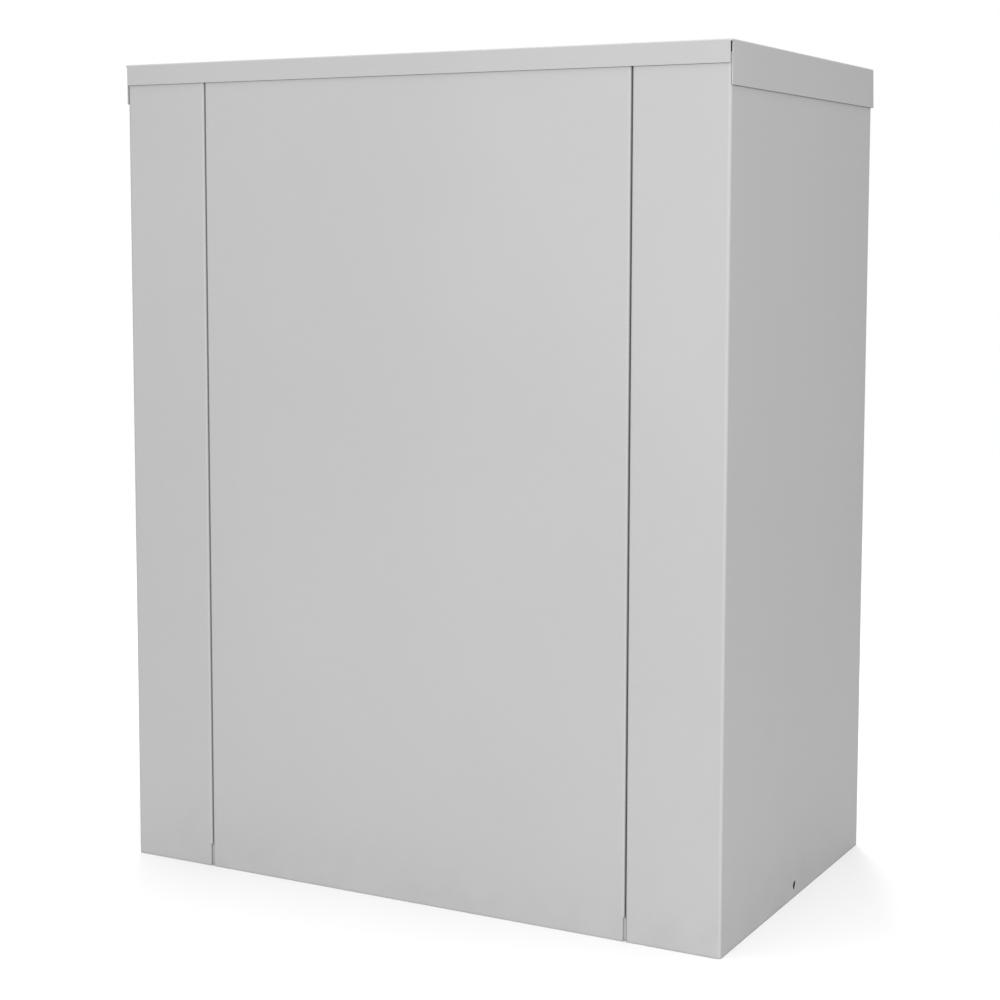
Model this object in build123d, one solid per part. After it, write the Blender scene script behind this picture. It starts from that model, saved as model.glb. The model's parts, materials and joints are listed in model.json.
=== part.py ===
from build123d import *
import math
import os

# Free-standing switchboard cabinet in folded sheet steel.
# Millimetres. Origin: middle of the base, on the ground. +Z up, the door faces -Y, the rear panel +Y.

# ------------------------------------------------------------------ driving sizes
body_width = 800.0
body_depth = 475.0
overall_height = 1000.0

sheet = 1.5                     # folded steel of the case, the roof and the door
bend_radius = 2.0               # inside radius of each fold
seam_bend_radius = 1.0          # and of the folds at the rear seams
roof_bend_radius = 0.5          # and of the roof cap's folds
pin_clearance = 0.05            # radial, between a pin or barrel and its bore
bolt_clearance = 0.5            # radial, between a bolt and its plain hole

# roof cap
roof_air_gap = 12.0             # between the top plate and the roof cap
roof_side_height = 48.0
roof_back_height = 25.0
roof_side_gap = 0.2             # between the side walls and the roof's side flanges
roof_back_gap = 0.3
visor_top_reach = 1.8           # the front of the cap, beyond the case, at its top
visor_low_reach = 5.5           # and at its lower edge
roof_corner_slit = 1.0          # open corner between the back and side flanges
roof_side_end = 0.75            # from the rear face forward to the side flanges' ends
roof_corner_closed = 2.5        # the slit starts this far below the roof
roof_bolt_radius = 4.0
roof_bolt_inset = 70.0          # from the case's faces to the roof bolts
roof_bolt_head = 5.3
roof_spacer_radius = 9.0
roof_bolt_end_gap = 1.0         # between the bolts' ends and the roof
top_tab_depth = 20.0            # tabs of the top plate, folded down inside the walls
top_tab_gap = 60.0

# side walls and rear panel
rear_return = 114.5             # width of the side wall's return on the rear face
rear_flange = 15.0              # inward flange at both edges of each rear seam
rear_seam = 2.0                 # open seam between the returns and the rear panel
seal_inset = 6.0                # from the rear face to the seam's seal
rivet_count = 6                 # along each rear seam
rivet_radius = 2.0
rivet_head_radius = 3.5
rivet_head_height = 1.5
side_hole_radius = 5.5
side_hole_height = 14.5

# door frame
front_return = 30.0             # width of the case's rim beside the door
front_flange = 22.0             # depth of the rim, from the front face to the sealing land
land_width = 14.0               # sealing land round the door opening
sill_height = 60.0
visor_clearance = 7.0           # between the roof's lower edge and the door opening
header_flange = 20.0

# base
tray_height = 27.5
tray_notch_gap = 0.5            # from the tray's floor up to the ends of the rear flanges
tray_rear_gap = 1.5             # between the rear panel and the tray
tray_hole_clearance = 3.5       # radial, round the side holes in the tray's flanges
anchor_radius = 6.5
anchor_inset_x = 60.0           # from the case's sides to the anchor holes
anchor_inset_y = 60.0
anchor_tube_radius = 11.0
entry_width = 360.0             # cable entry cut out of the tray
entry_depth = 120.0
entry_centre_y = 90.0
gland_plate_rim = 20.0
gland_plate_thickness = 3.0
gland_seal_thickness = 2.0
gland_bolt_radius = 2.5
gland_count = 4
gland_pitch = 80.0
gland_thread_radius = 12.5
gland_bore_radius = 9.0
gland_hex = 30.0                # across the flats
gland_hex_length = 7.0
gland_cap_length = 15.0
gland_thread_length = 14.0
gland_wall = 2.0
gland_cap_gap = 0.5             # between the cap nut and the gland's hexagon
gland_cap_lip = 3.0             # the cap nut's lower rim
gland_cap_round = 0.6           # taken off the cap nut's corners
gland_seal_bore_radius = 8.0
gland_seal_clearance = 0.1
gland_locknut_thickness = 5.0
gland_bolt_across = 8.0
gland_bolt_head = 3.5
gland_bolt_reach = 4.0          # below the tray's floor

# door
door_gap = 3.0                  # all round, between the door and the rim
door_depth = 14.0
door_lip = 18.0                 # inner rim of the door, which carries the seal
door_corner_radius = 2.5
gasket_width = 8.0
gasket_inset = 1.0
gasket_clearance = 0.3          # between the resting seal and the land
stiffener_inset = 165.0         # from the door's edges to its stiffeners
stiffener_width = 50.0
stiffener_depth = 18.0
stiffener_end_gap = 45.0
pocket_width = 236.0
pocket_height = 250.0
pocket_depth = 34.0
pocket_wall = 2.5
pocket_round = 2.0
pocket_notch_radius = 45.0
pocket_centre_below = 40.0      # the pocket's middle, below the door's middle

# hinges
hinge_inset = 130.0             # from the door's ends to the hinges
hinge_length = 60.0
hinge_knuckle_radius = 6.0
hinge_axis_reach = 7.0          # the axis, in front of the case
hinge_block_gap = 7.0           # from the axis to each leaf's block
hinge_block_width = 19.5
hinge_block_rise = 3.5          # the blocks stand this far beyond the axis and stop the door
hinge_web_gap = 0.5
hinge_web_overlap = 2.0         # of the web, into its block
hinge_web_inset = 1.0           # the web, behind the block's face
hinge_round = 1.5
hinge_pin_radius = 3.0
hinge_pin_head_radius = 5.0
hinge_pin_head_height = 2.0
hinge_knuckle_gap = 1.0
hinge_screw_radius = 2.5
hinge_screw_pitch = 36.0
hinge_screw_head_radius = 4.5
hinge_screw_head_height = 2.2
hinge_screw_round = 1.2
hinge_socket = 3.0              # across the flats
hinge_socket_depth = 1.6

# quarter-turn locks
lock_inset = 160.0              # from the door's ends to the locks
lock_body_radius = 9.0
lock_flange_radius = 14.0
lock_flange_thickness = 3.0
lock_flange_round = 1.2
lock_barrel_radius = 6.0
lock_head_radius = 7.5
lock_head_depth = 2.0
lock_key_side = 8.0
lock_key_depth = 7.0
lock_key_recess = 0.5           # the key post, below the barrel's face
lock_well_wall = 0.8
lock_nut_across = 24.0
lock_nut_lip_gap = 1.0          # between the nuts and the door's inner lip
lock_nut_thickness = 5.0
lock_cam_thickness = 3.0
lock_cam_half_width = 8.0
lock_cam_grip = 10.0            # the cam's tip passes behind the land by this much
lock_cam_clearance = 0.5
lock_square = 7.0
lock_rivet_radius = 5.0
lock_rivet_thickness = 1.5

# mounting plate
plate_thickness = 2.5
plate_standoff = 45.0           # clear space behind the plate
plate_side_gap = 50.0
plate_low = 60.0
plate_top_gap = 55.0
standoff_radius = 9.0
stud_radius = 4.0
stud_reach = 14.0
stud_inset_x = 70.0             # from the case's sides to the studs
stud_inset_z = 30.0             # from the plate's ends to the studs
nut_across = 13.0
nut_thickness = 6.5

# rails and devices
rail_width = 35.0
rail_depth = 7.5
rail_sheet = 1.0
rail_bend_radius = 0.6
rail_brim = 5.0
rail_end_gap = 70.0             # from the mounting plate's sides to the rails' ends
device_fit = 0.3                # between a device and its rail
device_plate_gap = 2.0
slot_pitch = 25.0
slot_length = 15.0
slot_width = 6.2
rail_screw_head_radius = 4.5
rail_screw_head_height = 2.5
rail_screw_reach = 2.0          # behind the mounting plate

breaker_count = 4
breaker_width = 53.4
breaker_pitch = 54.0
breaker_height = 85.0
breaker_back_depth = 44.0
breaker_nose_height = 45.0
breaker_nose_depth = 64.0
breaker_chamfer = 0.8
toggle_radius = 8.0
toggle_sink = 7.0               # the toggle's axis, behind the nose
toggle_width = 40.0
toggle_side_gap = 0.5
toggle_lever_length = 20.0
toggle_lever_thickness = 4.0
toggle_lever_inset = 2.0        # at each end of the toggle
toggle_lever_flat = 0.4         # left between the lever's rounded edges
toggle_pivot_radius = 2.0
toggle_pivot_length = 3.0
toggle_angle = 35.0             # each side of level
port_width = 7.0
port_depth = 10.0
port_behind = 22.0              # the ports' middle, from the breaker's back
comb_height = 14.0
comb_depth = 12.0
comb_pin_width = 4.0
comb_pin_depth = 2.0
comb_gap = 1.0
comb_end_gap = 4.0              # short of the breakers' row at each end

switch_width = 100.0
switch_height = 120.0
switch_depth = 76.0
switch_base_depth = 40.0
switch_step = 16.0
switch_pole_pitch = 30.0
switch_chamfer = 1.5
switch_port_width = 14.0
switch_port_depth = 20.0
knob_radius = 26.0
knob_disc = 8.0
knob_disc_round = 1.5
knob_grip_length = 58.0
knob_grip_width = 13.0
knob_grip_height = 20.0
knob_grip_round = 3.0
knob_shaft_radius = 5.0
knob_shaft_length = 15.0
knob_gap = 0.5
link_width = 12.0
link_thickness = 3.0

terminal_count = 14
terminal_width = 8.0
terminal_pitch = 8.2
terminal_height = 46.0
terminal_depth = 40.0
terminal_chamfer = 6.0
terminal_screw_radius = 2.4
end_stop_width = 9.5
end_stop_height = 44.0
end_stop_depth = 26.0
end_stop_round = 1.5

bar_length = 200.0
bar_height = 12.0
bar_depth = 9.0
bar_offset = 150.0              # the neutral and earth bars' middles, from the plate's middle
bar_standoff = 22.0
bar_screw_count = 8
bar_screw_radius = 2.5
bar_screw_head = 4.2
bar_screw_head_height = 3.5
bar_screw_reach = 1.4           # of the shanks, into the bar
bar_screw_slot_width = 1.0
bar_screw_slot_depth = 1.2
bar_hole_radius = 3.0           # across the bar, for the conductors
bar_foot_width = 14.0
bar_foot_round = 2.0

duct_width = 40.0
duct_depth = 60.0
duct_wall = 1.5
duct_slot = 6.0
duct_pitch = 12.5
duct_slot_front = 8.0           # from the duct's mouth to its slots
duct_slot_back = 15.0           # from the mounting plate to its slots
duct_cover_lip = 5.0

# ------------------------------------------------------------------ derived places
side_x = body_width / 2
front_y = -body_depth / 2
back_y = body_depth / 2

roof_under = overall_height - sheet
plate_top_z = roof_under - roof_air_gap         # upper face of the top plate
wall_top = plate_top_z - sheet
roof_bolts = [
    (x, y)
    for x in (-(side_x - roof_bolt_inset), side_x - roof_bolt_inset)
    for y in (front_y + roof_bolt_inset, back_y - roof_bolt_inset)
]

opening_x = side_x - front_return
opening_top = overall_height - roof_side_height - visor_clearance
land_y = front_y + front_flange
land_back_y = land_y + sheet

return_edge = side_x - rear_return
rear_panel_x = return_edge - rear_seam
inner_back_y = back_y - sheet
tray_notch = tray_height + tray_notch_gap
rivet_y = back_y - (rear_flange + seal_inset) / 2
rivet_step = (wall_top - tray_notch) / rivet_count
rivet_heights = [tray_notch + rivet_step * (i + 0.5) for i in range(rivet_count)]

door_x = opening_x - door_gap
door_low = sill_height + door_gap
door_high = opening_top - door_gap
door_mid = (door_low + door_high) / 2

hinge_x = -(opening_x + door_x) / 2
hinge_y = front_y - hinge_axis_reach
hinge_heights = (door_low + hinge_inset, door_high - hinge_inset)
hinge_screw_reach = hinge_block_gap + hinge_block_width / 2
frame_screw_places = [
    (hinge_x - hinge_screw_reach, z + offset)
    for z in hinge_heights
    for offset in (-hinge_screw_pitch / 2, hinge_screw_pitch / 2)
]
door_screw_places = [
    (hinge_x + hinge_screw_reach, z + offset)
    for z in hinge_heights
    for offset in (-hinge_screw_pitch / 2, hinge_screw_pitch / 2)
]

lock_heights = (door_high - lock_inset, door_low + lock_inset)
lock_x = door_x - door_lip - lock_nut_across / math.sqrt(3) - lock_nut_lip_gap
cam_y = land_back_y + lock_cam_clearance
cam_length = opening_x - land_width + lock_cam_grip - lock_x

plate_y = inner_back_y - plate_standoff - plate_thickness       # front face of the mounting plate
plate_x = side_x - plate_side_gap
plate_high = wall_top - plate_top_gap
stud_places = [
    (x, z)
    for x in (-(side_x - stud_inset_x), side_x - stud_inset_x)
    for z in (plate_low + stud_inset_z, plate_high - stud_inset_z)
]

# the devices stand in rows up the plate, and the free height is shared evenly between them
row_heights = {
    "bars": bar_foot_width,
    "terminals": terminal_height,
    "duct": duct_width + 2 * duct_wall,
    "breakers": breaker_height + comb_gap + comb_height,
    "switch": switch_height,
}
row_gap = (plate_high - plate_low - sum(row_heights.values())) / (len(row_heights) + 1)
row_starts = {}
row_z = plate_low
for row, height in row_heights.items():
    row_starts[row] = row_z + row_gap
    row_z = row_starts[row] + height
bar_z = row_starts["bars"] + bar_foot_width / 2
rail_terminal_z = row_starts["terminals"] + terminal_height / 2
duct_z = row_starts["duct"] + row_heights["duct"] / 2
rail_breaker_z = row_starts["breakers"] + breaker_height / 2
rail_switch_z = row_starts["switch"] + switch_height / 2

rail_length = 2 * (plate_x - rail_end_gap)
rail_front = plate_y - rail_depth
device_back = plate_y - device_plate_gap
nose_y = device_back - breaker_nose_depth
toggle_y = nose_y + toggle_sink
switch_face_y = device_back - switch_depth
knob_y = switch_face_y - knob_gap
bar_back = plate_y - bar_standoff

anchor_places = [
    (x, y)
    for x in (-(side_x - anchor_inset_x), side_x - anchor_inset_x)
    for y in (front_y + anchor_inset_y, back_y - anchor_inset_y)
]
tray_front_y = land_back_y
tray_back_y = inner_back_y - tray_rear_gap
tray_floor_low = tray_height - sheet
gland_plate_low = tray_height + gland_seal_thickness
gland_places = [(gland_pitch * (i - (gland_count - 1) / 2), entry_centre_y) for i in range(gland_count)]
gland_plate_x = entry_width / 2 + gland_plate_rim
gland_plate_y = entry_depth / 2 + gland_plate_rim
gland_bolt_places = [
    (x, entry_centre_y + y)
    for x in (-gland_plate_x + gland_plate_rim / 2, 0, gland_plate_x - gland_plate_rim / 2)
    for y in (-gland_plate_y + gland_plate_rim / 2, gland_plate_y - gland_plate_rim / 2)
]


# ------------------------------------------------------------------ shape helpers
def block(x_low, x_high, y_low, y_high, z_low, z_high):
    """Box between two corners."""
    size = Box(x_high - x_low, y_high - y_low, z_high - z_low)
    return Pos((x_low + x_high) / 2, (y_low + y_high) / 2, (z_low + z_high) / 2) * size


def rod(radius, start, end):
    """Round bar from one point to another."""
    along = Vector(*end) - Vector(*start)
    return extrude(Plane(origin=start, z_dir=along) * Circle(radius), amount=along.length)


def upright_rods(radius, places, low, high):
    """Round bars along Z at each (x, y)."""
    return [rod(radius, (x, y, low), (x, y, high)) for x, y in places]


def level_rods(radius, places, near, far):
    """Round bars along Y at each (x, z)."""
    return [rod(radius, (x, near, z), (x, far, z)) for x, z in places]


def hexagon(across, start, end):
    """Hexagonal bar from one point to another, across its flats."""
    along = Vector(*end) - Vector(*start)
    outline = RegularPolygon(across / 2, 6, major_radius=False)
    return extrude(Plane(origin=start, z_dir=along) * outline, amount=along.length)


def group(shapes):
    """Separate solids that share one node."""
    return Compound([solid for shape in shapes for solid in shape.solids()])


def both_sides(shape):
    """The shape and its mirror image on the other side of the case."""
    return group([shape, mirror(shape, about=Plane.YZ)])


def folded_face(points, thickness, inside_radii):
    """Section of a sheet folded along points. The sheet lies to the left of the line."""
    along = [Vector(*b) - Vector(*a) for a, b in zip(points, points[1:])]
    along = [step.normalized() for step in along]
    left = [Vector(-step.Y, step.X) for step in along]
    far = [Vector(*points[0]) + left[0] * thickness]
    near_radii = []
    far_radii = []
    for i in range(1, len(points) - 1):
        spread = 1 + left[i - 1].dot(left[i])
        far.append(Vector(*points[i]) + (left[i - 1] + left[i]) * (thickness / spread))
        turns_left = along[i - 1].cross(along[i]).Z > 0
        radius = inside_radii[i - 1]
        near_radii.append(radius + thickness if turns_left else radius)
        far_radii.append(radius if turns_left else radius + thickness)
    far.append(Vector(*points[-1]) + left[-1] * thickness)
    near_line = FilletPolyline(*points, radius=near_radii)
    far_line = FilletPolyline(*far, radius=far_radii)
    ends = [Line(near_line @ 0, far_line @ 0), Line(near_line @ 1, far_line @ 1)]
    return make_face([*near_line.edges(), *far_line.edges(), *ends])


def folded_upright(points, z_low, z_high, inside_radii=None):
    """Folded sheet with its section in the XY plane."""
    inside_radii = inside_radii or [bend_radius] * (len(points) - 2)
    return extrude(Pos(0, 0, z_low) * folded_face(points, sheet, inside_radii), amount=z_high - z_low)


def folded_across(points, x_low, x_high, thickness=sheet, radius=bend_radius):
    """Folded sheet with its section, given as (y, z), across the X axis."""
    section = folded_face(points, thickness, [radius] * (len(points) - 2))
    plane = Plane(origin=(x_low, 0, 0), x_dir=(0, 1, 0), z_dir=(1, 0, 0))
    return extrude(plane * section, amount=x_high - x_low)


# ------------------------------------------------------------------ case
def rear_flange_notch(edge, inward):
    """Cutters that end a rear flange above the tray. The sheet lies on the inward side of its edge."""
    fold_low, fold_high = sorted((edge - inward * sheet, edge + inward * sheet))
    bend_low, bend_high = sorted((edge, edge + inward * (sheet + seam_bend_radius)))
    return [
        block(fold_low, fold_high, back_y - rear_flange, back_y, 0, tray_notch),
        block(bend_low, bend_high, back_y - rear_flange, inner_back_y, 0, tray_notch),
    ]


def make_side_wall():
    """Right side wall: sealing land, rim, side, rear return and rear flange in one folded sheet."""
    wall = folded_upright(
        [
            (opening_x - land_width, land_y),
            (opening_x, land_y),
            (opening_x, front_y),
            (side_x, front_y),
            (side_x, back_y),
            (return_edge, back_y),
            (return_edge, back_y - rear_flange),
        ],
        0,
        wall_top,
        [bend_radius] * 4 + [seam_bend_radius],
    )
    land_ends = [
        block(opening_x - land_width, opening_x, front_y, land_back_y, z_low, z_high)
        for z_low, z_high in ((0, sill_height + land_width), (opening_top - land_width, wall_top))
    ]
    hole = rod(
        side_hole_radius, (side_x - 2 * sheet, 0, side_hole_height), (side_x + sheet, 0, side_hole_height)
    )
    return wall - land_ends - rear_flange_notch(return_edge, 1) - hole


def make_rear_panel():
    """Rear panel between the returns, with a flange along each seam."""
    panel = folded_upright(
        [
            (rear_panel_x, back_y - rear_flange),
            (rear_panel_x, back_y),
            (-rear_panel_x, back_y),
            (-rear_panel_x, back_y - rear_flange),
        ],
        0,
        wall_top,
        [seam_bend_radius] * 2,
    )
    return panel - rear_flange_notch(rear_panel_x, -1) - rear_flange_notch(-rear_panel_x, 1)


def make_rear_seals():
    """Sealing strip inside each rear seam."""
    strip = block(
        rear_panel_x, return_edge, back_y - rear_flange, back_y - seal_inset, tray_notch, wall_top
    )
    return both_sides(strip)


def make_rear_rivets():
    """Rivets through both flanges of each rear seam."""
    inner = rear_panel_x - sheet - rivet_head_height
    outer = return_edge + sheet
    rivets = []
    for z in rivet_heights:
        shank = rod(rivet_radius, (inner, rivet_y, z), (outer + rivet_head_height, rivet_y, z))
        heads = [
            rod(rivet_head_radius, (low, rivet_y, z), (low + rivet_head_height, rivet_y, z))
            for low in (inner, outer)
        ]
        rivets.append(shank + heads)
    return both_sides(group(rivets))


def rivet_holes(side):
    """Cutters for the rivets of the seam on one side."""
    inner = side * (rear_panel_x - 2 * sheet)
    outer = side * (return_edge + 2 * sheet)
    return [rod(rivet_radius, (inner, rivet_y, z), (outer, rivet_y, z)) for z in rivet_heights]


def make_front_header():
    """Folded rail above the door, with the upper sealing land."""
    return folded_across(
        [
            (front_y + header_flange, wall_top),
            (front_y, wall_top),
            (front_y, opening_top),
            (land_y, opening_top),
            (land_y, opening_top - land_width),
        ],
        -opening_x,
        opening_x,
    )


def make_front_sill():
    """Folded rail below the door, with the lower sealing land and a foot on the ground."""
    return folded_across(
        [
            (land_y, sill_height + land_width),
            (land_y, sill_height),
            (front_y, sill_height),
            (front_y, 0),
            (land_back_y, 0),
        ],
        -opening_x,
        opening_x,
    )


def make_top_plate():
    """Flat plate over the walls, with four tabs folded down inside them."""
    inner_x = side_x - sheet
    tabs = []
    for side in (-1, 1):
        low, high = sorted((side * inner_x, side * (inner_x - sheet)))
        tabs.append(
            block(low, high, front_y + top_tab_gap, back_y - top_tab_gap, wall_top - top_tab_depth, wall_top)
        )
    rear_tab_x = rear_panel_x - top_tab_gap
    tabs.append(
        block(
            -rear_tab_x, rear_tab_x, inner_back_y - sheet, inner_back_y, wall_top - top_tab_depth, wall_top
        )
    )
    plate = block(-side_x, side_x, front_y, back_y, wall_top, plate_top_z)
    plate = fillet(plate.edges().filter_by(Axis.Z), radius=bend_radius + sheet)
    return plate + tabs - upright_rods(
        roof_bolt_radius + bolt_clearance, roof_bolts, wall_top, plate_top_z
    )


def make_roof_cap():
    """Roof cap: side flanges, a shorter back flange with open corners, and a flared front visor."""
    out_x = side_x + roof_side_gap + sheet
    out_back = back_y + roof_back_gap + sheet
    low = overall_height - roof_side_height
    top_front = front_y - visor_top_reach
    low_front = front_y - visor_low_reach
    slope = math.hypot(low_front - top_front, roof_side_height) / roof_side_height
    lean = (low_front - top_front) / roof_side_height       # y for each mm down the visor

    def section(inset):
        skin = inset * slope
        high = overall_height - inset
        points = [
            (out_back - inset, low),
            (out_back - inset, high),
            (top_front + lean * (overall_height - high) + skin, high),
            (low_front + skin, low),
        ]
        face = make_face(Polyline(*points, close=True))
        side = out_x - inset
        solid = extrude(Plane(origin=(-side, 0, 0), x_dir=(0, 1, 0), z_dir=(1, 0, 0)) * face, amount=2 * side)
        rim = solid.faces().sort_by(Axis.Z)[-1].edges()
        front = solid.faces().sort_by(Axis.Y)[0]
        upright = [e for e in front.edges() if e.bounding_box().size.Z > roof_side_height / 2]
        return fillet([*rim, *upright], radius=roof_bend_radius + sheet - inset)

    cap = section(0.0) - section(sheet)
    inner_x = out_x - sheet
    back_low = overall_height - roof_back_height
    cap -= block(-inner_x, inner_x, back_y, out_back + sheet, low - sheet, back_low)
    slit_high = overall_height - roof_corner_closed
    for side in (-1, 1):
        x_low, x_high = sorted((side * (out_x + sheet), side * (inner_x - roof_corner_slit)))
        cap -= block(x_low, x_high, back_y - roof_side_end, out_back + sheet, low - sheet, slit_high)
    return cap


def make_roof_bolts():
    """Bolts that hold the roof cap from inside the case."""
    return group(
        [
            rod(roof_bolt_radius, (x, y, wall_top), (x, y, roof_under - roof_bolt_end_gap))
            + hexagon(nut_across, (x, y, wall_top - roof_bolt_head), (x, y, wall_top))
            for x, y in roof_bolts
        ]
    )


def make_roof_spacers():
    """Spacer rings between the top plate and the roof nuts."""
    top = roof_under - nut_thickness
    return group(
        [
            rod(roof_spacer_radius, (x, y, plate_top_z), (x, y, top))
            - rod(roof_bolt_radius + bolt_clearance, (x, y, plate_top_z), (x, y, top))
            for x, y in roof_bolts
        ]
    )


def make_roof_nuts():
    """Nuts welded under the roof cap."""
    low = roof_under - nut_thickness
    return group(
        [
            hexagon(nut_across, (x, y, low), (x, y, roof_under))
            - rod(roof_bolt_radius + pin_clearance, (x, y, low), (x, y, roof_under))
            for x, y in roof_bolts
        ]
    )


# ------------------------------------------------------------------ base
def make_base_tray():
    """Raised floor with flanges folded down to the ground inside the walls."""
    tray_x = side_x - sheet
    outer = block(-tray_x, tray_x, tray_front_y, tray_back_y, 0, tray_height)
    rim = outer.edges().filter_by(Axis.Z) + outer.faces().sort_by(Axis.Z)[-1].edges()
    outer = fillet(rim, radius=bend_radius + sheet)
    inner = block(
        -tray_x + sheet, tray_x - sheet, tray_front_y + sheet, tray_back_y - sheet, 0, tray_floor_low
    )
    inner_rim = inner.edges().filter_by(Axis.Z) + inner.faces().sort_by(Axis.Z)[-1].edges()
    inner = fillet(inner_rim, radius=bend_radius)
    tray = outer - inner
    tray -= block(
        -entry_width / 2,
        entry_width / 2,
        entry_centre_y - entry_depth / 2,
        entry_centre_y + entry_depth / 2,
        tray_floor_low,
        tray_height,
    )
    tray -= upright_rods(anchor_radius, anchor_places, 0, tray_height)
    tray -= upright_rods(gland_bolt_radius, gland_bolt_places, 0, tray_height)
    hole_radius = side_hole_radius + tray_hole_clearance
    return tray - rod(hole_radius, (-side_x, 0, side_hole_height), (side_x, 0, side_hole_height))


def make_anchor_tubes():
    """Tubes that carry the anchor bolts' load from the floor to the ground."""
    return group(
        [
            rod(anchor_tube_radius, (x, y, 0), (x, y, tray_floor_low))
            - rod(anchor_radius, (x, y, 0), (x, y, tray_floor_low))
            for x, y in anchor_places
        ]
    )


def make_gland_plate():
    """Removable plate over the cable entry."""
    high = gland_plate_low + gland_plate_thickness
    plate = block(
        -gland_plate_x,
        gland_plate_x,
        entry_centre_y - gland_plate_y,
        entry_centre_y + gland_plate_y,
        gland_plate_low,
        high,
    )
    plate -= upright_rods(gland_thread_radius + bolt_clearance, gland_places, gland_plate_low, high)
    return plate - upright_rods(gland_bolt_radius, gland_bolt_places, gland_plate_low, high)


def make_gland_plate_seal():
    """Flat seal under the gland plate's rim."""
    ring = block(
        -gland_plate_x,
        gland_plate_x,
        entry_centre_y - gland_plate_y,
        entry_centre_y + gland_plate_y,
        tray_height,
        gland_plate_low,
    )
    ring -= block(
        -entry_width / 2,
        entry_width / 2,
        entry_centre_y - entry_depth / 2,
        entry_centre_y + entry_depth / 2,
        tray_height,
        gland_plate_low,
    )
    return ring - upright_rods(gland_bolt_radius, gland_bolt_places, tray_height, gland_plate_low)


def make_gland_plate_bolts():
    """Bolts through the gland plate, its seal and the tray."""
    top = gland_plate_low + gland_plate_thickness
    return group(
        [
            rod(gland_bolt_radius, (x, y, tray_floor_low - gland_bolt_reach), (x, y, top))
            + hexagon(gland_bolt_across, (x, y, top), (x, y, top + gland_bolt_head))
            for x, y in gland_bolt_places
        ]
    )


def make_gland_bodies():
    """Cable glands: thread, hexagon and the neck inside the cap nut."""
    top = gland_plate_low + gland_plate_thickness
    bodies = []
    for x, y in gland_places:
        body = rod(gland_thread_radius, (x, y, gland_plate_low), (x, y, top + gland_thread_length))
        body += hexagon(gland_hex, (x, y, gland_plate_low - gland_hex_length), (x, y, gland_plate_low))
        neck_low = gland_plate_low - gland_hex_length - gland_cap_length / 2
        body += rod(gland_thread_radius, (x, y, neck_low), (x, y, gland_plate_low))
        body -= rod(gland_thread_radius - gland_wall, (x, y, neck_low), (x, y, top + gland_thread_length))
        bodies.append(body)
    return group(bodies)


def make_gland_caps():
    """Cap nuts that close the glands on the cables."""
    high = gland_plate_low - gland_hex_length - gland_cap_gap
    low = high - gland_cap_length
    caps = []
    for x, y in gland_places:
        cap = hexagon(gland_hex, (x, y, low), (x, y, high))
        cap = cap & rod(gland_hex / math.sqrt(3) - gland_cap_round, (x, y, low), (x, y, high))
        cap -= rod(gland_thread_radius + pin_clearance, (x, y, low + gland_cap_lip), (x, y, high))
        cap -= rod(gland_bore_radius, (x, y, low), (x, y, high))
        caps.append(cap)
    return group(caps)


def make_gland_seals():
    """Rubber rings inside the glands."""
    low = gland_plate_low - gland_hex_length - gland_cap_length / 2
    high = gland_plate_low
    radius = gland_thread_radius - gland_wall - gland_seal_clearance
    return group(
        [
            rod(radius, (x, y, low), (x, y, high)) - rod(gland_seal_bore_radius, (x, y, low), (x, y, high))
            for x, y in gland_places
        ]
    )


def make_gland_locknuts():
    """Locknuts on the glands, inside the case."""
    low = gland_plate_low + gland_plate_thickness
    high = low + gland_locknut_thickness
    return group(
        [
            hexagon(gland_hex, (x, y, low), (x, y, high))
            - rod(gland_thread_radius + pin_clearance, (x, y, low), (x, y, high))
            for x, y in gland_places
        ]
    )


# ------------------------------------------------------------------ door
def make_door_panel():
    """Door skin folded back on all sides, with an inner lip for the seal."""
    outer = block(-door_x, door_x, front_y, front_y + door_depth, door_low, door_high)
    outer = fillet(outer.faces().sort_by(Axis.Y)[0].edges(), radius=door_corner_radius)
    inner = block(
        -door_x + sheet,
        door_x - sheet,
        front_y + sheet,
        front_y + door_depth - sheet,
        door_low + sheet,
        door_high - sheet,
    )
    window = block(
        -door_x + door_lip,
        door_x - door_lip,
        front_y + door_depth - 2 * sheet,
        front_y + door_depth,
        door_low + door_lip,
        door_high - door_lip,
    )
    panel = outer - inner - window
    skin_back = front_y + sheet
    panel -= level_rods(lock_body_radius, [(lock_x, z) for z in lock_heights], front_y, skin_back)
    return panel - level_rods(hinge_screw_radius, door_screw_places, front_y, skin_back)


def make_door_gasket():
    """Foam seal on the door's inner lip."""
    low_y = front_y + door_depth
    high_y = land_y - gasket_clearance
    out_x = door_x - gasket_inset
    ring = block(-out_x, out_x, low_y, high_y, door_low + gasket_inset, door_high - gasket_inset)
    in_x = out_x - gasket_width
    inset = gasket_inset + gasket_width
    return ring - block(-in_x, in_x, low_y, high_y, door_low + inset, door_high - inset)


def make_door_stiffeners():
    """Upright hat rails inside the door."""
    rails = []
    for centre in (-door_x + stiffener_inset, door_x - stiffener_inset):
        wide = stiffener_width / 2
        crown = stiffener_width / 4
        skin = front_y + sheet
        crest = skin + stiffener_depth
        section = [
            (centre - wide, skin + sheet),
            (centre - crown, skin + sheet),
            (centre - crown, crest),
            (centre + crown, crest),
            (centre + crown, skin + sheet),
            (centre + wide, skin + sheet),
        ]
        section.reverse()
        rails.append(
            folded_upright(section, door_low + stiffener_end_gap, door_high - stiffener_end_gap)
        )
    return group(rails)


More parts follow.
